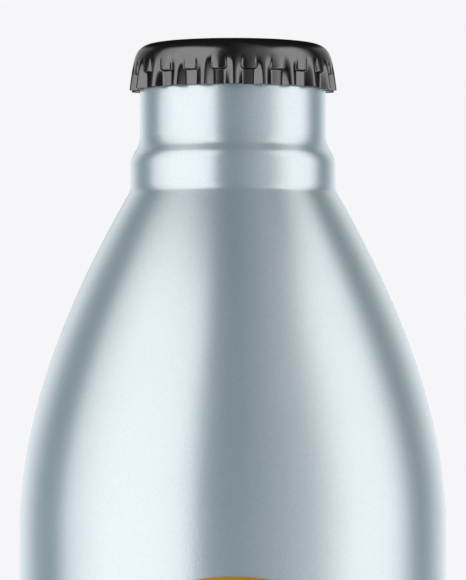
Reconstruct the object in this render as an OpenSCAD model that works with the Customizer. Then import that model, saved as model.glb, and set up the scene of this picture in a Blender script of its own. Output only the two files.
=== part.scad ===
// Glass milk bottle with a metallic lacquer coat, a foil label and a crown cap.
// Millimetres. +Z up, origin on the table at the centre of the base, label towards -Y.

/* [Bottle] */
// Height from the table to the top of the crown
total_h = 150; // [140:1:165]
// Outside diameter of the body, over the lacquer
body_d = 59; // [57:0.5:62]
// Outside diameter of the neck, over the lacquer
neck_d = 25.85; // [25.6:0.05:25.9]
// Outside diameter of the raised band under the neck
band_d = 28.5; // [28:0.1:29]
// Diameter of the mouth
mouth_d = 16; // [14:0.1:17]
// Thickness of the glass in the body
wall_t = 2.6; // [2:0.1:3.5]
// Radius of the heel, where the body meets the base
heel_r = 5; // [3:0.5:7]
// Height of the hollow under the base
push_up_h = 3.2; // [1:0.1:4]

/* [Lacquer] */
// Thickness of the lacquer coat
coat_t = 0.12; // [0.08:0.01:0.2]

/* [Crown] */
// Diameter over the ridges at the skirt's lower edge
crown_d = 28.8; // [28.6:0.1:29.4]
// Height of the crown
crown_h = 6.6; // [6:0.1:7]
// Number of flutes round the skirt
flutes = 21; // [18:1:24]
// Depth of a flute at the lower edge
flute_depth = 1.15; // [0.8:0.05:1.2]
// Thickness of the tinplate
sheet_t = 0.25; // [0.2:0.01:0.28]

/* [Label] */
// Width of the oval label, seen from the front
label_w = 40; // [30:1:44]
// Height of the oval label
label_h = 24; // [16:1:30]
// Height of the label's centre above the table
label_z = 64; // [40:1:68]

/* [Hidden] */
$fn = 96;

body_r = body_d / 2;
neck_r = neck_d / 2;
band_r = band_d / 2;
mouth_r = mouth_d / 2;

// Levels, measured down from the top of the crown
shoulder_low_z = total_h - 67.4;
shoulder_top_z = total_h - 21.1;
band_z = total_h - 17.1;
bore_low_z = total_h - 17;
coat_top_z = total_h - 6.2;
lip_z = total_h - 0.8;
shell_under_z = total_h - 0.3;

// The step from the band up to the neck: two arcs joined by a short straight flank
step_a = 30;
step_low_r = 3.3;
step_high_r = 4.1;
step_flank = (band_r - neck_r - (step_low_r + step_high_r) * (1 - cos(step_a))) / sin(step_a);
neck_z = band_z + (step_low_r + step_high_r) * sin(step_a) + step_flank * cos(step_a);

// The crease between the band and the shoulder
crease_a = 29.6;
crease_r = 2.6;
crease_out = crease_r * (1 - cos(crease_a));

// The shoulder's curve leaves the body upright and meets the crease at its angle
shoulder_low_pull = 17.2;
shoulder_high_pull = 14;

// The lip: a bead for the crown with a shallow groove under it
lip_r = 12.8;
lip_round = 2;
lip_inner_round = 0.8;
groove_r = 12.45;
groove_bevel = 0.5;
groove_low_z = coat_top_z + 0.1;
groove_top_z = lip_z - 2.8;

// The inside of the bottle
inside_r = body_r - coat_t - wall_t;
inside_top_z = shoulder_low_z - 0.6;
throat_pull = 7;
inside_pull = 24;
floor_z = push_up_h + 3;
floor_round = 8;
ring_in_r = 19.5;

function arc(centre, radius, from, to, steps) =
    [for (i = [0 : steps]) let (a = from + (to - from) * i / steps) centre + radius * [cos(a), sin(a)]];

function bezier_point(p, t) =
    pow(1 - t, 3) * p[0] + 3 * pow(1 - t, 2) * t * p[1] + 3 * (1 - t) * t * t * p[2] + pow(t, 3) * p[3];

function bezier(p, steps) = [for (i = [0 : steps]) bezier_point(p, i / steps)];

function inset(points, by) = [for (p = points) [p[0] - by, p[1]]];

function reverse(list) = [for (i = [len(list) - 1 : -1 : 0]) list[i]];

shoulder_top = [band_r + crease_out, shoulder_top_z];
shoulder = [
    [body_r, shoulder_low_z],
    [body_r, shoulder_low_z + shoulder_low_pull],
    shoulder_top + shoulder_high_pull * [sin(crease_a), -cos(crease_a)],
    shoulder_top
];

// The outside of the lacquered bottle, from the heel to the top of the lacquer
skin = concat(
    arc([body_r - heel_r, heel_r], heel_r, -45, 0, 6),
    bezier(shoulder, 20),
    arc([band_r + crease_r, shoulder_top_z + crease_r * sin(crease_a)], crease_r, 180 + crease_a, 180, 6),
    arc([band_r - step_low_r, band_z], step_low_r, 0, step_a, 6),
    arc([neck_r + step_high_r, neck_z], step_high_r, 180 + step_a, 180, 6),
    [[neck_r, coat_top_z]]
);

// The inside of the bottle, from the mouth down to the floor
hollow = concat(
    arc([mouth_r + lip_inner_round, lip_z - lip_inner_round], lip_inner_round, 90, 180, 6),
    bezier([
        [mouth_r, bore_low_z],
        [mouth_r, bore_low_z - throat_pull],
        [inside_r, inside_top_z + inside_pull],
        [inside_r, inside_top_z]
    ], 20),
    arc([inside_r - floor_round, floor_z + floor_round], floor_round, 0, -90, 10),
    [[0, floor_z]]
);

// The hollow under the base is part of a sphere, from the axis out to the standing ring
push_up_r = (push_up_h * push_up_h + ring_in_r * ring_in_r) / (2 * push_up_h);
push_up_steps = 8;
push_up = [
    for (i = [0 : push_up_steps]) let (r = ring_in_r * i / push_up_steps)
        [r, push_up_h - push_up_r + sqrt(push_up_r * push_up_r - r * r)]
];

module glass_bottle() {
    color("paleturquoise")
    rotate_extrude()
    polygon(concat(
        push_up,
        arc([body_r - coat_t - heel_r, heel_r], heel_r, -90, -50, 4),
        inset(skin, coat_t),
        [[groove_r, groove_low_z + groove_bevel], [groove_r, groove_top_z - groove_bevel], [lip_r, groove_top_z]],
        arc([lip_r - lip_round, lip_z - lip_round], lip_round, 0, 90, 8),
        hollow
    ));
}

module metallic_coat() {
    color("lightsteelblue")
    rotate_extrude()
    polygon(concat(skin, reverse(inset(skin, coat_t))));
}

module ellipse(width, height) {
    polygon([for (a = [0 : 5 : 355]) [width / 2 * cos(a), height / 2 * sin(a)]]);
}

// A milk drop: a circle with its tangents drawn up to a point at the given height over the circle's centre
module drop(drop_r, point_h) {
    tangent_a = asin(drop_r / point_h);
    polygon(concat([[0, point_h]], arc([0, 0], drop_r, 180 - tangent_a, 360 + tangent_a, 24)));
}

// A flat shape laid on the front of the body as a skin of the given thickness
module on_front(thickness) {
    intersection() {
        translate([0, 0, label_z]) rotate([90, 0, 0]) linear_extrude(body_d) children();
        translate([0, 0, label_z - label_h]) difference() {
            cylinder(r = body_r + thickness, h = 2 * label_h);
            translate([0, 0, -1]) cylinder(r = body_r, h = 2 * label_h + 2);
        }
    }
}

module foil_label() {
    foil_t = 0.1;
    relief_t = 0.25;
    rim_w = 1.2;
    drop_r = label_h * 0.13;
    color("goldenrod")
    union() {
        on_front(foil_t) ellipse(label_w, label_h);
        on_front(relief_t) difference() {
            ellipse(label_w - 2 * rim_w, label_h - 2 * rim_w);
            ellipse(label_w - 4 * rim_w, label_h - 4 * rim_w);
        }
        on_front(relief_t) translate([0, -drop_r * 0.8]) drop(drop_r, drop_r * 2.3);
    }
}

// The crown's outline over its ridges, from the axis to the lower edge: a nearly flat top,
// a rounded corner, and a skirt that flares out to the lower edge
top_flat_r = 10.45;
top_mid_r = 5.5;
corner_r = 13.56;
skirt_top_z = total_h - 1.9;
skirt_low_z = total_h - crown_h;
skirt_steps = 4;
crown_line = concat(
    [[top_mid_r, total_h - 0.02]],
    bezier([
        [top_flat_r, total_h - 0.06],
        [top_flat_r + 1.93, total_h - 0.08],
        [corner_r - 0.28, skirt_top_z + 1.1],
        [corner_r, skirt_top_z]
    ], 5),
    [for (i = [1 : skirt_steps]) let (t = i / skirt_steps)
        [corner_r + (crown_d / 2 - corner_r) * pow(t, 0.6), skirt_top_z + (skirt_low_z - skirt_top_z) * t]]
);
steps_per_flute = 6;
steps_round = flutes * steps_per_flute;

// How far a flute is pressed in at a height: nothing at the corner, all of it low on the skirt
press_h = 2.8;
function pressed(z) = flute_depth * min(1, max(0, (skirt_top_z + 0.1 - z) / press_h));

// The share of that depth at a step round the skirt: 0 on a ridge, 1 in the middle of a flute
function share(i) = let (u = abs(2 * (i % steps_per_flute) / steps_per_flute - 1)) 1 - pow(u, 2.4);

function crown_ring(p) =
    [for (i = [0 : steps_round - 1]) let (a = -90 + 360 * i / steps_round, r = p[0] - pressed(p[1]) * share(i))
        [r * cos(a), r * sin(a), p[1]]];

// One band of triangles between two rings of points
function band(low, high) =
    [for (i = [0 : steps_round - 1]) let (j = (i + 1) % steps_round)
        each [[low + i, low + j, high + i], [low + j, high + j, high + i]]];

module crown_shell() {
    top_inset = 0.14;
    last = len(crown_line) - 1;
    inner = concat(
        [[top_flat_r - 0.2, shell_under_z]],
        [for (i = [3 : last - 1])
            [crown_line[i][0] - sheet_t, min(crown_line[i][1] - top_inset, shell_under_z)]],
        [[crown_line[last][0] - sheet_t, skirt_low_z]]
    );
    rings = [for (p = concat(crown_line, reverse(inner))) crown_ring(p)];
    points = concat([[0, 0, total_h]], [for (ring = rings) each ring], [[0, 0, shell_under_z]]);
    n = steps_round;
    under = len(points) - 1;
    faces = concat(
        [for (i = [0 : n - 1]) [0, 1 + (i + 1) % n, 1 + i]],
        [for (k = [0 : len(rings) - 2]) each band(1 + k * n, 1 + (k + 1) * n)],
        [for (i = [0 : n - 1]) [under, under - n + i, under - n + (i + 1) % n]]
    );
    color([0.1, 0.1, 0.1]) polyhedron(points, faces, convexity = 8);
}

// The liner: a thin web across the mouth and a thicker ring that seals on the lip
module crown_liner() {
    web_z = shell_under_z - 0.25;
    seal_z = lip_z + 0.02;
    seal_r = 11.4;
    color("whitesmoke")
    rotate_extrude()
    polygon([
        [0, web_z],
        [mouth_r - 1, web_z],
        [mouth_r - 0.5, seal_z],
        [seal_r, seal_z],
        [seal_r + 0.2, seal_z + 0.12],
        [seal_r - 0.3, shell_under_z - 0.18],
        [seal_r - 1.3, shell_under_z],
        [0, shell_under_z]
    ]);
}

glass_bottle();
metallic_coat();
foil_label();
crown_shell();
crown_liner();
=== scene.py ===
# %% [markdown]
# # A small milk bottle in ice blue lacquer
# The bottle is taken to be blown glass with a sprayed metallic lacquer, a foil label and a black crown cap.
# From outside, a lacquered glass bottle and an aluminium one look the same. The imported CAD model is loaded
# first: it gives the bodies that move, the sizes, and the nodes that the finer pieces stand for.

# %% Load the frame
import math

import bpy
import numpy as np
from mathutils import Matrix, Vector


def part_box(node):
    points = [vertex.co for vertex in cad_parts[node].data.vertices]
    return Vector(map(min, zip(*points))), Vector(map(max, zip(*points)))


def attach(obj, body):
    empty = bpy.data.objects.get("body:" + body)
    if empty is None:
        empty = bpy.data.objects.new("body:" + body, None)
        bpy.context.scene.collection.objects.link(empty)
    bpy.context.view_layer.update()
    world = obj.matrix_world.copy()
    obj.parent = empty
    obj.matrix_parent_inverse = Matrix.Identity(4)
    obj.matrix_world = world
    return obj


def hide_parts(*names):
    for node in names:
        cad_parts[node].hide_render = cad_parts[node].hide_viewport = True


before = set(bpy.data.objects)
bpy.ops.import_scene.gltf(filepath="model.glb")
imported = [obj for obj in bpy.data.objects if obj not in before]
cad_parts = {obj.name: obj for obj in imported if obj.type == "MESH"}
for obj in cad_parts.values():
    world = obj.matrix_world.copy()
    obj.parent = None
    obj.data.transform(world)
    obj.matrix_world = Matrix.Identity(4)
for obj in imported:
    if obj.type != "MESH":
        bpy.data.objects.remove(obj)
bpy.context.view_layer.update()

MM = 0.001

# %% [markdown]
# Every piece here is round or nearly so, and all of them start from the same three kinds of line: an arc, a
# Bezier curve and a straight stretch. Each helper returns points as rows of an array, radius first and
# height second.

# %% Lines
def arc(centre, radius, start, end, steps):
    """Centre plus radius times (cosine, sine) of an angle that goes evenly from start to end, in degrees."""
    angle = np.radians(np.linspace(start, end, steps + 1))
    return np.array(centre) + radius * np.stack([np.cos(angle), np.sin(angle)], axis=1)


def bezier(points, steps):
    """Each of the four points weighted by its cubic Bernstein polynomial of t, for t evenly from 0 to 1."""
    t = np.linspace(0, 1, steps + 1)[:, None]
    p = np.array(points, float)
    return (1 - t) ** 3 * p[0] + 3 * (1 - t) ** 2 * t * p[1] + 3 * (1 - t) * t ** 2 * p[2] + t ** 3 * p[3]


def straight(start, end, steps):
    """Points evenly from start to end."""
    t = np.linspace(0, 1, steps + 1)[:, None]
    return (1 - t) * np.array(start, float) + t * np.array(end, float)


def joined(*lines):
    """The lines end to end, with a point that repeats the one before it left out."""
    points = np.concatenate(lines)
    step = np.linalg.norm(np.diff(points, axis=0), axis=1)
    return points[np.concatenate([[True], step > 1e-9])]


def smooth(x):
    """Goes from 0 to 1 as x does, by 3x squared minus 2x cubed, and is level at both ends."""
    x = np.clip(x, 0, 1)
    return x * x * (3 - 2 * x)

# %% [markdown]
# A surface is a grid of points: rows run along the profile and columns run round the axis. Four neighbours
# make a face. The first and last rows may close on a point on the axis, as the two ends of a bottle's
# outline do, or the last row may join the first, as round the edge of a ring. The sign of the volume says
# whether the faces point outwards, so it turns them when they don't.

# %% From a grid to a mesh
def grid_piece(name, rows, loop=False):
    """Joins point (i, j) of the grid to (i + 1, j), (i + 1, j + 1) and (i, j + 1), with columns going all the
    way round. Without loop, both end rows close on their own middle point."""
    n_rows, n_cols, _ = rows.shape
    points = rows.reshape(-1, 3)
    i = np.arange(n_rows if loop else n_rows - 1)[:, None]
    j = np.arange(n_cols)[None, :]
    next_i, next_j = (i + 1) % n_rows, (j + 1) % n_cols
    quads = np.stack(np.broadcast_arrays(
        i * n_cols + j, i * n_cols + next_j, next_i * n_cols + next_j, next_i * n_cols + j), axis=-1)
    faces = quads.reshape(-1, 4).tolist()
    if not loop:
        points = np.vstack([points, rows[0].mean(axis=0), rows[-1].mean(axis=0)])
        first, last = len(points) - 2, len(points) - 1
        ring, after = j.ravel(), next_j.ravel()
        top = (n_rows - 1) * n_cols
        faces += np.stack([np.full(n_cols, first), after, ring], axis=1).tolist()
        faces += np.stack([np.full(n_cols, last), top + ring, top + after], axis=1).tolist()
    corners = np.array([face + face[2:] if len(face) == 3 else face for face in faces])
    a, b, c, d = ((points - points.mean(axis=0))[corners[:, k]] for k in range(4))
    volume = np.sum(a * (np.cross(b, c) + np.cross(c, d))) / 6
    if volume < 0:
        faces = [face[::-1] for face in faces]
    mesh = bpy.data.meshes.new(name)
    mesh.from_pydata(points.tolist(), [], faces)
    mesh.polygons.foreach_set("use_smooth", np.ones(len(mesh.polygons), bool))
    mesh.update()
    piece = bpy.data.objects.new(name, mesh)
    bpy.context.scene.collection.objects.link(piece)
    print(f"{name}: {len(mesh.polygons)} faces round {abs(volume) / MM ** 3:.0f} cubic millimetres")
    return piece


def turned(profile, columns):
    """Carries a profile round the axis: x is r cos a, y is r sin a, z stays, for angles a evenly round."""
    a = 2 * np.pi * np.arange(columns) / columns
    r, z = profile[:, :1], profile[:, 1:]
    return np.stack([r * np.cos(a), r * np.sin(a), z + 0 * a], axis=2)

# %% [markdown]
# The outside of the bottle, from the heel up. The body is a plain cylinder. The shoulder is one long curve
# that leaves the body upright and runs into a small crease, and above the crease a raised band steps in to
# the neck through two arcs. A lathe profile is the right tool for all of it, because a blow mould is turned
# too, and because long soft reflections show every kink: the arcs meet each other with the same slope.

# %% The bottle's outline
coat_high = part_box("metallic_coat")[1]
crown_low, crown_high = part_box("crown_shell")
body_r = coat_high.x
total_h = crown_high.z
coat_top_z = coat_high.z
heel_r = 5 * MM
neck_r = 12.925 * MM
band_r = 14.25 * MM
shoulder_low_z = total_h - 67.4 * MM
shoulder_top_z = total_h - 21.1 * MM
band_z = total_h - 17.1 * MM

step_angle = 30
step_low_r, step_high_r = 3.3 * MM, 4.1 * MM
step_sin, step_cos = math.sin(math.radians(step_angle)), math.cos(math.radians(step_angle))
flank = (band_r - neck_r - (step_low_r + step_high_r) * (1 - step_cos)) / step_sin
neck_z = band_z + (step_low_r + step_high_r) * step_sin + flank * step_cos

crease_angle, crease_r = 29.6, 2.6 * MM
crease_sin, crease_cos = math.sin(math.radians(crease_angle)), math.cos(math.radians(crease_angle))
shoulder_top = np.array([band_r + crease_r * (1 - crease_cos), shoulder_top_z])
shoulder_low_pull, shoulder_high_pull = 17.2 * MM, 14 * MM
shoulder = bezier([
    (body_r, shoulder_low_z),
    (body_r, shoulder_low_z + shoulder_low_pull),
    shoulder_top + shoulder_high_pull * np.array([crease_sin, -crease_cos]),
    shoulder_top,
], 64)


def outline(top_z):
    """The lacquered outside from 45 degrees under the heel up to top_z on the neck."""
    return joined(
        arc((body_r - heel_r, heel_r), heel_r, -45, 0, 12),
        straight((body_r, heel_r), (body_r, shoulder_low_z), 16),
        shoulder,
        arc((band_r + crease_r, shoulder_top_z + crease_r * crease_sin), crease_r,
            180 + crease_angle, 180, 12),
        straight((band_r, shoulder_top_z + crease_r * crease_sin), (band_r, band_z), 3),
        arc((band_r - step_low_r, band_z), step_low_r, 0, step_angle, 12),
        arc((neck_r + step_high_r, neck_z), step_high_r, 180 + step_angle, 180, 14),
        straight((neck_r, neck_z), (neck_r, top_z), 5),
    )


print(f"body {2000 * body_r:.1f} mm across, neck starts at {1000 * neck_z:.1f} mm")

# %% [markdown]
# The lacquer is a thin skin with a soft edge at both ends, where the sprayed film thins out: just under the
# crown, and under the heel, where the bottle stands on bare glass. The skin goes up the outside and comes
# back down a tenth of a millimetre further in, and the two ends are half round. A Solidify modifier on an
# open sheet would do the same, but its square edges would need a bevel.

# %% Lacquer skin
film = 0.1 * MM
columns = 256
outside = outline(coat_top_z - film / 2)
inside = outside[::-1] - (film, 0)
top_edge = arc(outside[-1] - (film / 2, 0), film / 2, 0, 180, 6)
heel_edge = arc(outside[0] - (film / 2, 0), film / 2, 180, 360, 6)
lacquer_skin = grid_piece(
    "lacquer_skin", turned(joined(outside, top_edge[1:-1], inside, heel_edge[1:-1]), columns), loop=True)
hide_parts("metallic_coat")
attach(lacquer_skin, "bottle")

# %% [markdown]
# The glass shows at the mouth when the crown is off, and under the base. Its wall is thick at the lip and
# at the base, and thin in the body. The standing ring has the fine radial ribs that moulds press into it,
# so that the bottle doesn't stand on a scratched, weakened surface. They are in the mesh: the ring's rows
# rise and fall as a cosine of the angle, so the profile is turned first and its ring is moved afterwards.

# %% Glass bottle
film_gap = 0.12 * MM
wall = 2.6 * MM
mouth_r = 8 * MM
lip_z = total_h - 0.8 * MM
lip_r, lip_round, lip_inner_round = 12.8 * MM, 2 * MM, 0.8 * MM
groove_r, groove_low_z, groove_top_z = 12.45 * MM, coat_top_z + 0.1 * MM, lip_z - 2.8 * MM
push_up_h = 3.2 * MM
ring_in_r, ring_out_r = 19.5 * MM, body_r - film_gap - heel_r
inside_r = body_r - film_gap - wall
floor_z, floor_round = push_up_h + 3 * MM, 8 * MM
bore_low_z = total_h - 17 * MM
inside_top_z = shoulder_low_z - 0.6 * MM
throat_pull, inside_pull = 7 * MM, 24 * MM
centre_r = 0.4 * MM


def push_up(r):
    """Height of the hollow under the base: part of a sphere through the ring's inner edge, push_up_h at the
    axis."""
    sphere = (push_up_h ** 2 + ring_in_r ** 2) / (2 * push_up_h)
    return push_up_h - sphere + np.sqrt(sphere ** 2 - r ** 2)


dome_r = np.linspace(centre_r, 18 * MM, 18)
mould_mark = 0.12 * MM * np.exp(-((dome_r - 9 * MM) / (0.5 * MM)) ** 2)
base_dome = np.stack([dome_r, push_up(dome_r) - mould_mark], axis=1)
bend_start_r, bend_pull_r, bend_end_r = 19 * MM, 19.6 * MM, 20.4 * MM
bend_start = (bend_start_r, push_up(bend_start_r))
ring_bend = bezier([base_dome[-1], bend_start, (bend_pull_r, 0), (bend_end_r, 0)], 6)
glass_profile = joined(
    base_dome,
    ring_bend,
    straight((bend_end_r, 0), (ring_out_r, 0), 8),
    arc((ring_out_r, heel_r), heel_r, -90, -45, 10),
    outline(coat_top_z) - (film_gap, 0),
    bezier([(neck_r - film_gap, coat_top_z), (neck_r - film_gap, coat_top_z + 0.4 * MM),
            (groove_r, groove_low_z), (groove_r, groove_low_z + 0.7 * MM)], 6),
    bezier([(groove_r, groove_top_z - 0.8 * MM), (groove_r, groove_top_z - 0.2 * MM),
            (lip_r, groove_top_z - 0.2 * MM), (lip_r, groove_top_z + 0.3 * MM)], 8),
    arc((lip_r - lip_round, lip_z - lip_round), lip_round, 0, 90, 12),
    arc((mouth_r + lip_inner_round, lip_z - lip_inner_round), lip_inner_round, 90, 180, 8),
    bezier([(mouth_r, bore_low_z), (mouth_r, bore_low_z - throat_pull),
            (inside_r, inside_top_z + inside_pull), (inside_r, inside_top_z)], 28),
    arc((inside_r - floor_round, floor_z + floor_round), floor_round, 0, -90, 12),
    straight((inside_r - floor_round, floor_z), (centre_r, floor_z), 8),
)
ribs, columns_per_rib, rib_depth = 48, 8, 0.15 * MM
glass_rows = turned(glass_profile, ribs * columns_per_rib)
r = glass_profile[:, 0]
on_ring = smooth((r - ring_in_r) / (1.5 * MM)) * smooth((ring_out_r + 0.5 * MM - r) / (1.5 * MM))
on_ring = on_ring * (glass_profile[:, 1] < 0.1 * MM)
rib_wave = 0.5 - 0.5 * np.cos(2 * np.pi * np.arange(ribs * columns_per_rib) / columns_per_rib)
glass_rows[:, :, 2] += rib_depth * on_ring[:, None] * rib_wave[None, :]
bottle_glass = grid_piece("bottle_glass", glass_rows)
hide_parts("glass_bottle")
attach(bottle_glass, "bottle")

# %% [markdown]
# The label is an oval of gold foil, embossed in a die: a plain raised rim, a ring of beads and a milk drop.
# Foil is a height over the bottle's wall, so the piece is a polar grid on the oval. The grid gives a place
# on the oval, a relief function gives the height there, and the two are laid on the cylinder together.

# %% Foil label
label_low, label_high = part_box("foil_label")
half_w = (label_high.x - label_low.x) / 2
half_h = (label_high.z - label_low.z) / 2
label_z = (label_high.z + label_low.z) / 2
foil = 0.1 * MM
relief = 0.14 * MM
rim_out, rim_in, rim_soft = 1.2 * MM, 2.4 * MM, 0.35 * MM
bead_inset, bead_size, beads_round = 3.5 * MM, 0.42 * MM, 84
drop_tip = 2.3
stuck_down = 0.004 * MM


def inside_oval(x, z, inset, soft):
    """1 inside the oval that lies inset from the label's edge and 0 outside, with a slope between that is as
    wide as soft."""
    a, b = half_w - inset, half_h - inset
    distance = (1 - np.hypot(x / a, z / b)) * b
    return smooth(distance / soft + 0.5)


def bead_ring(x, z, inset, bead_r, count):
    """Round beads along an oval: how far a point is across the oval's line and along it, measured as an arc
    length in beads, gives a dome by one minus the square of the distance from the nearest bead."""
    a, b = half_w - inset, half_h - inset
    turn = np.linspace(-np.pi, np.pi, 721)
    length = np.concatenate([[0], np.cumsum(np.hypot(np.diff(a * np.cos(turn)), np.diff(b * np.sin(turn))))])
    along = np.interp(np.arctan2(z / b, x / a), turn, length / length[-1]) * count
    along = (along - np.round(along)) * length[-1] / count
    across = (np.hypot(x / a, z / b) - 1) * np.hypot(x, z) / np.maximum(np.hypot(x / a, z / b), 1e-6)
    return np.clip(1 - (along ** 2 + across ** 2) / bead_r ** 2, 0, 1) ** 0.6


def milk_drop(x, z):
    """Distance inside a drop: to the circle below, and to its two tangents above where they touch it."""
    drop_r = 0.13 * 2 * half_h
    z = z + 0.8 * drop_r
    lean = math.asin(1 / drop_tip)
    q = np.abs(x)
    above, beside = z - drop_r * math.sin(lean), q - drop_r * math.cos(lean)
    past_touch = above * math.cos(lean) > beside * math.sin(lean)
    edge = np.where(past_touch, drop_r - q * math.cos(lean) - z * math.sin(lean), drop_r - np.hypot(q, z))
    glint = smooth(1.5 - np.abs(np.hypot(x, z) - 0.62 * drop_r) / (0.16 * drop_r))
    glint = glint * smooth(0.5 + 2.2 * (np.cos(np.arctan2(z, x) - math.radians(215)) - 0.55))
    return smooth(edge / (0.9 * MM)) - 0.6 * glint


def label_relief(x, z):
    """The foil's own thickness plus the raised rim, the beads and the drop."""
    rim = inside_oval(x, z, rim_out, rim_soft) - inside_oval(x, z, rim_in, rim_soft)
    beads = bead_ring(x, z, bead_inset, bead_size, beads_round)
    return foil + relief * (rim + 0.8 * beads + np.clip(milk_drop(x, z), 0, 1))


share = np.concatenate([np.linspace(0.01, 0.62, 46), np.linspace(0.625, 1, 56)])
turn = 2 * np.pi * np.arange(504) / 504
x = half_w * share[:, None] * np.cos(turn)
z = half_h * share[:, None] * np.sin(turn)
face = label_relief(x, z)
edge_x, edge_z = x[-1:], z[-1:]
lift = np.concatenate([face, foil * 0.7 + 0 * edge_x, stuck_down + 0 * edge_x, stuck_down + 0 * x[::-12]])
x = np.concatenate([x, edge_x, edge_x, x[::-12]])
z = np.concatenate([z, edge_z, edge_z, z[::-12]])
label_rows = np.stack([x, -np.sqrt((body_r + lift) ** 2 - x ** 2), label_z + z], axis=2)
gold_label = grid_piece("gold_label", label_rows)
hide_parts("foil_label")
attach(gold_label, "bottle")

# %% [markdown]
# A crown is a disc of tinplate that a die folds down round the lip. The metal that is too much is gathered
# into narrow ridges, and between two ridges a flute is pressed in. From the corner of the top a tongue of
# unpressed metal hangs down into each flute and ends in a small shelf. A straight lathe with a star-shaped
# wave would miss all of that, so the skirt is a radius worked out from two numbers: where a point lies
# between two ridges, and how far it is below the corner.

# %% The crown's shape
flutes = 21
first_ridge = math.radians(-90 + 0.6)
crown_top_z = total_h
skirt_top_z = total_h - 1.9 * MM
skirt_low_z = crown_low.z
skirt_h = skirt_top_z - skirt_low_z
corner_r = 13.56 * MM
ridge_low_r = 14.4 * MM
valley_r = 13.35 * MM
corner_slope = 0.36
half_pitch = math.pi * corner_r / flutes
shelf_s = 2.6 * MM
sheet = 0.25 * MM
sag_r = 3 * MM


def base_radius(s):
    """The top's own surface carried on down: it leaves the corner at a slope that dies away."""
    fade = 1.5 * MM
    return corner_r + corner_slope * fade * (1 - np.exp(-s / fade))


def ridge_radius(s):
    """A ridge stands out quickly below the corner and then flares: a power of the share of the way down."""
    t, start, power = s / skirt_h, 0.12, 0.45
    rise = ((t + start) ** power - start ** power) / ((1 + start) ** power - start ** power)
    return corner_r + (ridge_low_r - corner_r) * rise


def flute_wave(u):
    """1 in the flat middle of a flute and 0 on a ridge. The flank's slope grows smoothly beside the flat and
    dies away over the rounded ridge, and the wave is what is left of that slope's running total."""
    v = np.linspace(0, 1, 1001)
    total = np.cumsum(smooth((v - 0.29) / 0.2) * smooth((1 - v) / 0.28))
    return 1 - np.interp(np.abs(u), v, total / total[-1])


def pressed_in(s):
    """Share of the full depth, which eases in from just under the corner to three millimetres down."""
    return smooth((s - 0.3 * MM) / (2.8 * MM))


def tongue(u, s):
    """1 on the tongue and 0 off it, from the distance to a rounded box that widens on the way down."""
    corner, wall_w = 0.34 * MM, 0.15 * MM
    half = half_pitch * (0.4 + 0.11 * np.clip(s / shelf_s, 0, 1))
    dx = np.abs(u) * half_pitch - half + corner
    dz = s - shelf_s + corner
    outside_box = np.hypot(np.clip(dx, 0, None), np.clip(dz, 0, None))
    distance = outside_box + np.minimum(np.maximum(dx, dz), 0) - corner
    return smooth(0.5 - distance / (2 * wall_w))


def skirt_radius(u, s, with_tongue=True):
    """Ridge and flute mixed by the wave, and the tongue's rounded surface where there is one."""
    base, wave = base_radius(s), flute_wave(u)
    radius = base + (ridge_radius(s) - base) * (1 - wave) - (base - valley_r) * pressed_in(s) * wave
    if not with_tongue:
        return radius
    sag = (u * half_pitch) ** 2 / (2 * sag_r) * (s / shelf_s) ** 2
    on = tongue(u, s)
    return radius * (1 - on) + (base - sag) * on

# %% [markdown]
# The columns and rows are not even. A tongue's side is only about a third of a millimetre wide, and even
# columns that are fine enough for it would waste faces everywhere else. So a density says where points are
# wanted, and the points are put at equal steps of the density's running total.

# %% Crown shell
def spread(low, high, count, density):
    """count + 1 values from low to high, close together where density is high."""
    fine = np.linspace(low, high, 4001)
    total = np.concatenate([[0], np.cumsum(density((fine[1:] + fine[:-1]) / 2))])
    return np.interp(np.linspace(0, total[-1], count + 1), total, fine)


def bump(x, centre, width):
    """A bell curve of that width round the centre."""
    return np.exp(-((x - centre) / width) ** 2)


u = spread(-1, 1, 34, lambda v: 1 + 3 * bump(np.abs(v), 1, 0.09) + 2.2 * bump(np.abs(v), 0.45, 0.11))[:-1]
u = np.tile(u, flutes)
place = np.repeat(np.arange(flutes), len(u) // flutes) + (u + 1) / 2
angle = first_ridge + 2 * np.pi * place / flutes

s_rows = spread(0, skirt_h, 60,
                lambda s: 1 + 2.5 * bump(s, shelf_s, 0.25 * MM) + 1.2 * bump(s, 0.5 * MM, 0.4 * MM))
s_inner = np.linspace(skirt_h, 0, 20)
cap_centre_r = 0.5 * MM
flat_end = (10.45 * MM, crown_top_z - 0.06 * MM)
corner_pull = 1.1 * MM
top_line = joined(
    straight((cap_centre_r, crown_top_z), flat_end, 7),
    bezier([flat_end, (12.38 * MM, crown_top_z - 0.08 * MM),
            (corner_r - corner_pull * corner_slope, skirt_top_z + corner_pull), (corner_r, skirt_top_z)], 18),
)
under_z = crown_top_z - 0.3 * MM
under_flat_r = 10.3 * MM
under_line = joined(
    bezier([(corner_r - sheet, skirt_top_z - 0.1 * MM), (corner_r - 0.5 * MM, skirt_top_z + 1 * MM),
            (12.2 * MM, under_z), (under_flat_r, under_z)], 8),
    straight((under_flat_r, under_z), (cap_centre_r, under_z), 4),
)


def ring_rows(radius, height):
    """Rows of points at the given radius and height, at the crown's own angles."""
    return np.stack(np.broadcast_arrays(radius * np.cos(angle), radius * np.sin(angle), height), axis=2)


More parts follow.
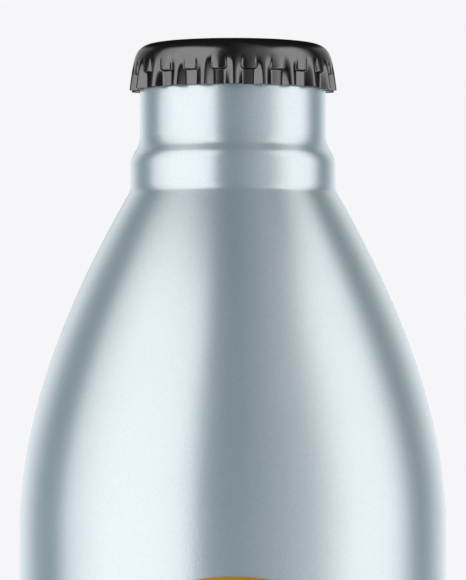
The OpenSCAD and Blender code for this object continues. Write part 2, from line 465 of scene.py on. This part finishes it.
skirt = skirt_radius(u[None, :], s_rows[:, None])
inner = skirt_radius(u[None, :], s_inner[:, None], with_tongue=False) - sheet
cut = 0.05 * MM
skirt_z = skirt_top_z - s_rows[:, None]
skirt_z[-1] += cut
low = skirt[-1:]
crown_rows = np.concatenate([
    ring_rows(top_line[:-1, :1], top_line[:-1, 1:]),
    ring_rows(skirt, skirt_z),
    ring_rows(low - 0.3 * cut, skirt_low_z + 0.3 * cut),
    ring_rows(low - cut, skirt_low_z + 0 * low[:, :1]),
    ring_rows(low - sheet + cut, skirt_low_z + 0 * low[:, :1]),
    ring_rows(inner[:-1], skirt_top_z - s_inner[:-1, None] + cut * (s_inner[:-1, None] == skirt_h)),
    ring_rows(under_line[:, :1], under_line[:, 1:]),
])
crown_cap = grid_piece("crown_cap", crown_rows)
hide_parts("crown_shell")
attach(crown_cap, "crown")
print(f"narrowest inside the flutes {1000 * inner.min():.2f} mm, over the lip of {1000 * lip_r:.2f} mm")

# %% [markdown]
# The seal inside the crown is soft plastic, moulded in place: a thin web with fine rings and a nub where
# the plastic went in, and a thicker ring that presses on the lip. It shows from below when the crown is
# off.

# %% Crown seal
seal_low, seal_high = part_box("crown_liner")
web_z = seal_high.z - 0.25 * MM
web_r = np.linspace(0.3 * MM, mouth_r - 1 * MM, 90)
rings = sum(bump(web_r, centre * MM, 0.18 * MM) for centre in (2.2, 3.7, 5.2))
nub = smooth((0.8 * MM - web_r) / (0.3 * MM))
web = np.stack([web_r, web_z - 0.06 * MM * rings - 0.1 * MM * nub], axis=1)
seal_r = 11.4 * MM
seal_profile = joined(
    web,
    bezier([web[-1], (mouth_r - 0.7 * MM, web_z),
            (mouth_r - 0.8 * MM, seal_low.z), (mouth_r - 0.4 * MM, seal_low.z)], 8),
    straight((mouth_r - 0.4 * MM, seal_low.z), (seal_r - 0.2 * MM, seal_low.z), 6),
    bezier([(seal_r - 0.2 * MM, seal_low.z), (seal_r + 0.2 * MM, seal_low.z),
            (seal_r + 0.2 * MM, seal_low.z + 0.2 * MM), (seal_r - 0.3 * MM, seal_high.z - 0.18 * MM)], 10),
    bezier([(seal_r - 0.3 * MM, seal_high.z - 0.18 * MM), (seal_r - 0.7 * MM, seal_high.z - 0.04 * MM),
            (seal_r - 1 * MM, seal_high.z), (seal_r - 1.3 * MM, seal_high.z)], 6),
    straight((seal_r - 1.3 * MM, seal_high.z), (0.3 * MM, seal_high.z), 4),
)
crown_seal = grid_piece("crown_seal", turned(seal_profile, 144))
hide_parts("crown_liner")
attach(crown_seal, "crown")

# %% [markdown]
# The finishes are node materials on object coordinates, which are metres here, so a texture's scale is one
# over the size of its grain. A number that is the same all over is set on the shader itself.

# %% Material helpers
def material(name, **settings):
    """A material whose Principled shader has the given sockets set. Returns the material, its nodes and
    links, the shader, and the object coordinates that its textures read."""
    made = bpy.data.materials.new(name)
    made.use_nodes = True
    nodes, links = made.node_tree.nodes, made.node_tree.links
    shader = nodes["Principled BSDF"]
    for socket, value in settings.items():
        shader.inputs[socket.replace("_", " ")].default_value = value
    where = nodes.new("ShaderNodeTexCoord").outputs["Object"]
    return made, nodes, links, shader, where


def noise(nodes, links, where, grain, detail=2.0):
    """Soft noise whose grain is that size in metres."""
    texture = nodes.new("ShaderNodeTexNoise")
    texture.inputs["Scale"].default_value = 1 / grain
    texture.inputs["Detail"].default_value = detail
    links.new(where, texture.inputs["Vector"])
    return texture.outputs["Fac"]


def ramp(nodes, links, value, stops):
    """A colour for each value, mixed between the stops."""
    node = nodes.new("ShaderNodeValToRGB")
    elements = node.color_ramp.elements
    while len(elements) < len(stops):
        elements.new(0.5)
    for element, (position, colour) in zip(elements, stops):
        element.position = position
        element.color = (*colour, 1)
    links.new(value, node.inputs["Fac"])
    return node.outputs["Color"]


def between(nodes, links, value, low, high, to_low, to_high):
    """Maps a value from one range to another."""
    node = nodes.new("ShaderNodeMapRange")
    for name, number in zip(("From Min", "From Max", "To Min", "To Max"), (low, high, to_low, to_high)):
        node.inputs[name].default_value = number
    links.new(value, node.inputs["Value"])
    return node.outputs["Result"]


def bumped(nodes, links, shader, heights):
    """Chains bump nodes, each a height texture and the depth in metres that it stands for."""
    normal = None
    for height, depth in heights:
        node = nodes.new("ShaderNodeBump")
        node.inputs["Distance"].default_value = depth
        links.new(height, node.inputs["Height"])
        if normal is not None:
            links.new(normal, node.inputs["Normal"])
        normal = node.outputs["Normal"]
    links.new(normal, shader.inputs["Normal"])


def finish_with(piece, made):
    """Gives the piece its one material."""
    piece.data.materials.clear()
    piece.data.materials.append(made)

# %% [markdown]
# Metallic lacquer is a tinted binder full of aluminium flakes. The flakes throw back half of the light,
# white and in a satin blur, and the binder between them scatters the rest in ice blue. A metal in one
# colour would tint the highlights too, so the shader keeps a coloured body and gets its strong white
# reflection from a high index of refraction. The flakes don't lie quite level, which shows as a fine grain
# where a reflection ends: small cells differ a little in tone and the surface has a fine tooth. A long soft
# wave is the slight flow of a sprayed film. The index of refraction is a stand-in for the flakes, since no
# binder has one as high. The roughness stays at 0.27 or below: with rougher patches, faint outlines showed
# round them in denoised views.

# %% Metallic lacquer
lacquer, nodes, links, shader, where = material("metallic_lacquer", Metallic=0.1, IOR=5.8, Roughness=0.26)
cells = nodes.new("ShaderNodeTexVoronoi")
cells.inputs["Scale"].default_value = 1 / (0.16 * MM)
links.new(where, cells.inputs["Vector"])
cell_tone = nodes.new("ShaderNodeSeparateColor")
links.new(cells.outputs["Color"], cell_tone.inputs["Color"])
deep_blue, light_blue = (0.445, 0.62, 0.705), (0.495, 0.67, 0.755)
tone = ramp(nodes, links, cell_tone.outputs["Red"], [(0.0, deep_blue), (1.0, light_blue)])
links.new(tone, shader.inputs["Base Color"])
satin = between(nodes, links, noise(nodes, links, where, 9 * MM), 0.3, 0.7, 0.25, 0.27)
links.new(satin, shader.inputs["Roughness"])
bumped(nodes, links, shader, [
    (noise(nodes, links, where, 14 * MM, 1.0), 0.02 * MM),
    (noise(nodes, links, where, 0.25 * MM), 0.011 * MM),
])
finish_with(lacquer_skin, lacquer)

# %% [markdown]
# Bottle glass is clear with a faint green tint from the iron in the sand, and its blown surface isn't quite
# flat, so reflections in it waver.

# %% Clear glass
glass, nodes, links, shader, where = material(
    "clear_glass", Transmission_Weight=1.0, IOR=1.52, Roughness=0.03)
green_tint, pale_tint = (0.86, 0.94, 0.92), (0.90, 0.96, 0.95)
tint = ramp(nodes, links, noise(nodes, links, where, 12 * MM), [(0.3, green_tint), (0.7, pale_tint)])
links.new(tint, shader.inputs["Base Color"])
bumped(nodes, links, shader, [(noise(nodes, links, where, 5 * MM), 0.05 * MM)])
finish_with(bottle_glass, glass)

# %% [markdown]
# The label is gold foil under a satin varnish. The varnish scatters a good part of the light, so half of
# the shader is metal and the rest is a warm body. A fine crinkle from the die is a bump, and the same noise
# paints the colour deeper where the crinkle is low and lighter where it is high: painted shade in its
# hollows.

# %% Gold foil
gold, nodes, links, shader, where = material(
    "gold_foil", Metallic=0.5, Roughness=0.31, Specular_IOR_Level=0.2)
crinkle = noise(nodes, links, where, 0.35 * MM, 3.0)
# The crinkle's low places take the deeper gold and its high places the lighter one: painted shade and light
# that follow the bump's height.
gold_in_painted_shade, gold_painted_lit = (0.69, 0.375, 0.027), (0.79, 0.44, 0.038)
tone = ramp(nodes, links, crinkle, [(0.3, gold_in_painted_shade), (0.7, gold_painted_lit)])
links.new(tone, shader.inputs["Base Color"])
links.new(between(nodes, links, crinkle, 0.3, 0.7, 0.35, 0.28), shader.inputs["Roughness"])
bumped(nodes, links, shader, [(crinkle, 0.008 * MM)])
finish_with(gold_label, gold)

# %% [markdown]
# The crown is black enamel over tinplate. Two shaders were tried. A clear gloss over black turns white
# towards the outline. A dark metal with a dark tint for slanting light stays dark there, and it is the one
# used. It is a choice of look and doesn't say what the enamel is made of. Baked enamel has a little orange
# peel, a millimetre or so across, and its gloss varies a trace.

# %% Black enamel
enamel, nodes, links, shader, where = material("black_enamel", Metallic=1.0, Roughness=0.18)
dark_metal, lighter_metal, slanting = (0.165, 0.165, 0.165), (0.18, 0.18, 0.18), (0.45, 0.45, 0.45, 1)
tone = ramp(nodes, links, noise(nodes, links, where, 2 * MM), [(0.3, dark_metal), (0.7, lighter_metal)])
links.new(tone, shader.inputs["Base Color"])
gloss = between(nodes, links, noise(nodes, links, where, 1.5 * MM, 4.0), 0.3, 0.7, 0.16, 0.2)
links.new(gloss, shader.inputs["Roughness"])
bumped(nodes, links, shader, [(noise(nodes, links, where, 0.9 * MM), 0.004 * MM)])
shader.inputs["Specular Tint"].default_value = slanting
finish_with(crown_cap, enamel)

# %% [markdown]
# The seal is soft, off-white and matt, with the cloudy look of polyethylene: a little light goes into it.

# %% Liner plastic
plastic, nodes, links, shader, where = material(
    "liner_plastic", Roughness=0.5, Subsurface_Weight=0.3, Subsurface_Scale=0.3 * MM)
cloudy_dark, cloudy_light = (0.74, 0.73, 0.68), (0.82, 0.81, 0.77)
tone = ramp(nodes, links, noise(nodes, links, where, 1.8 * MM), [(0.3, cloudy_dark), (0.7, cloudy_light)])
links.new(tone, shader.inputs["Base Color"])
bumped(nodes, links, shader, [(noise(nodes, links, where, 0.3 * MM), 0.01 * MM)])
finish_with(crown_seal, plastic)

# %% [markdown]
# A lacquered bottle shows the room round it, so the room is most of the picture. Here it is two tall
# softboxes at the sides, two lower ones further back, a low pale wall behind, a dark front that lightens to
# the right, and dark gaps between. Area lamps would do, but a world that is a brightness for each direction
# gives the same long clean reflections without noise. Directions are a compass angle, 0 towards the
# camera's side and positive to its right, and a height in degrees. The camera itself sees a plain pale
# backdrop, through the Light Path node.

# %% Studio light
world = bpy.data.worlds.new("studio")
bpy.context.scene.world = world
world.use_nodes = True
nodes, links = world.node_tree.nodes, world.node_tree.links
direction = nodes.new("ShaderNodeTexCoord").outputs["Generated"]
split = nodes.new("ShaderNodeSeparateXYZ")
links.new(direction, split.inputs["Vector"])


def math_node(operation, first, second=None):
    """One arithmetic step on sockets or numbers."""
    node = nodes.new("ShaderNodeMath")
    node.operation = operation
    for socket, value in zip(node.inputs, (first, second)):
        if isinstance(value, bpy.types.NodeSocket):
            links.new(value, socket)
        elif value is not None:
            socket.default_value = value
    return node.outputs["Value"]


def product(*factors):
    """All the factors multiplied together."""
    total = factors[0]
    for factor in factors[1:]:
        total = math_node("MULTIPLY", total, factor)
    return total


def eased(value, low, high, to_low, to_high):
    """Goes from one value to the other with a soft start and end."""
    result = between(nodes, links, value, low, high, to_low, to_high)
    result.node.interpolation_type = "SMOOTHSTEP"
    return result


x, y, z = split.outputs["X"], split.outputs["Y"], split.outputs["Z"]
front = math_node("MULTIPLY", y, -1.0)
compass = math_node("DEGREES", math_node("ARCTAN2", x, front))
height = math_node("DEGREES", math_node("ARCSINE", z))


def softbox(facing, sides, top, light):
    """A flat lit panel standing upright, seen from the bottle. The sides are four compass directions: where
    the left side starts and is full, and where the right side starts to fade and ends. The panel's top edge
    is a straight line, so a direction is first carried on to the panel's plane: its height over its share of
    the way towards the panel. There the top is full up to the first height and dark above the second."""
    turn = math.radians(facing)
    towards = math_node("ADD", product(x, math.sin(turn)), product(front, math.cos(turn)))
    on_plane = math_node("DIVIDE", z, math_node("MAXIMUM", towards, 0.02))
    return product(eased(compass, sides[0], sides[1], 0, 1), eased(compass, sides[2], sides[3], 1, 0),
                   eased(on_plane, top[0], top[1], 1, 0), light)


left_top, right_top, rim_top = (1.1, 1.75), (0.9, 1.4), (0.65, 0.95)
left_box = math_node("ADD", softbox(-52, (-111, -97, -23, -18), left_top, 0.95),
                     softbox(-52, (-100, -72, -23, -18), left_top, 0.36))
right_box = softbox(76, (44, 69, 94, 118), right_top, 1.3)
left_rim = softbox(-100, (-178, -162, -158, -122), rim_top, 1.05)
right_rim = softbox(100, (122, 160, 164, 178), rim_top, 1.1)
behind = product(eased(math_node("ABSOLUTE", compass), 155, 176, 0, 1), eased(height, 3, 12, 1, 0), 0.9)
dim_side = product(between(nodes, links, compass, 3, 50, 0, 0.5), eased(compass, 48, 68, 1, 0),
                   eased(height, 35, 75, 1, 0.2))
everything = 0.045
for part in (left_box, right_box, left_rim, right_rim, behind, dim_side):
    everything = math_node("ADD", part, everything)

lamp, backdrop = nodes["Background"], nodes.new("ShaderNodeBackground")
lamp.inputs["Color"].default_value = (1, 1, 1, 1)
links.new(everything, lamp.inputs["Strength"])
backdrop.inputs["Color"].default_value = (0.922, 0.922, 0.939, 1)
seen = nodes.new("ShaderNodeLightPath").outputs["Is Camera Ray"]
choose = nodes.new("ShaderNodeMixShader")
links.new(seen, choose.inputs["Fac"])
links.new(lamp.outputs["Background"], choose.inputs[1])
links.new(backdrop.outputs["Background"], choose.inputs[2])
links.new(choose.outputs["Shader"], nodes["World Output"].inputs["Surface"])

# %% [markdown]
# The floor is a large pale sheet of paper. It gives back the light that falls on it and glows a little, as
# paper on a lit table does, so that it meets the backdrop without a line. It is left out of reflections,
# which real paper wouldn't be, to keep the long reflections in the lacquer unbroken down to the heel.

# %% Floor
def floor_sheet(name, half, z):
    """A square sheet of four points."""
    mesh = bpy.data.meshes.new(name)
    corners = [(-half, -half, z), (half, -half, z), (half, half, z), (-half, half, z)]
    mesh.from_pydata(corners, [], [(0, 1, 2, 3)])
    sheet_object = bpy.data.objects.new(name, mesh)
    bpy.context.scene.collection.objects.link(sheet_object)
    return sheet_object


floor = floor_sheet("floor", 8.0, 0.0)
paper_white = (0.93, 0.93, 0.94, 1)
paper, nodes, links, shader, where = material("floor_paper", Roughness=0.9, Emission_Strength=0.6)
shader.inputs["Base Color"].default_value = paper_white
shader.inputs["Emission Color"].default_value = paper_white
finish_with(floor, paper)
floor.visible_glossy = False

# %% [markdown]
# The camera stands almost a metre away at the height of the bottle's middle, with a very long lens, and
# tilts up to frame the upper half.

# %% Camera
camera_data = bpy.data.cameras.new("camera")
very_long_lens = 417
camera_distance, tilt_up = 0.93, 2.51
camera_data.lens = very_long_lens
camera_data.sensor_width = 36
camera_data.clip_start, camera_data.clip_end = 0.01, 50
camera = bpy.data.objects.new("camera", camera_data)
bpy.context.scene.collection.objects.link(camera)
camera.location = (0, -camera_distance, total_h / 2)
camera.rotation_euler = (math.radians(90 + tilt_up), 0, 0)
bpy.context.scene.camera = camera
bpy.context.scene.view_settings.view_transform = "Standard"
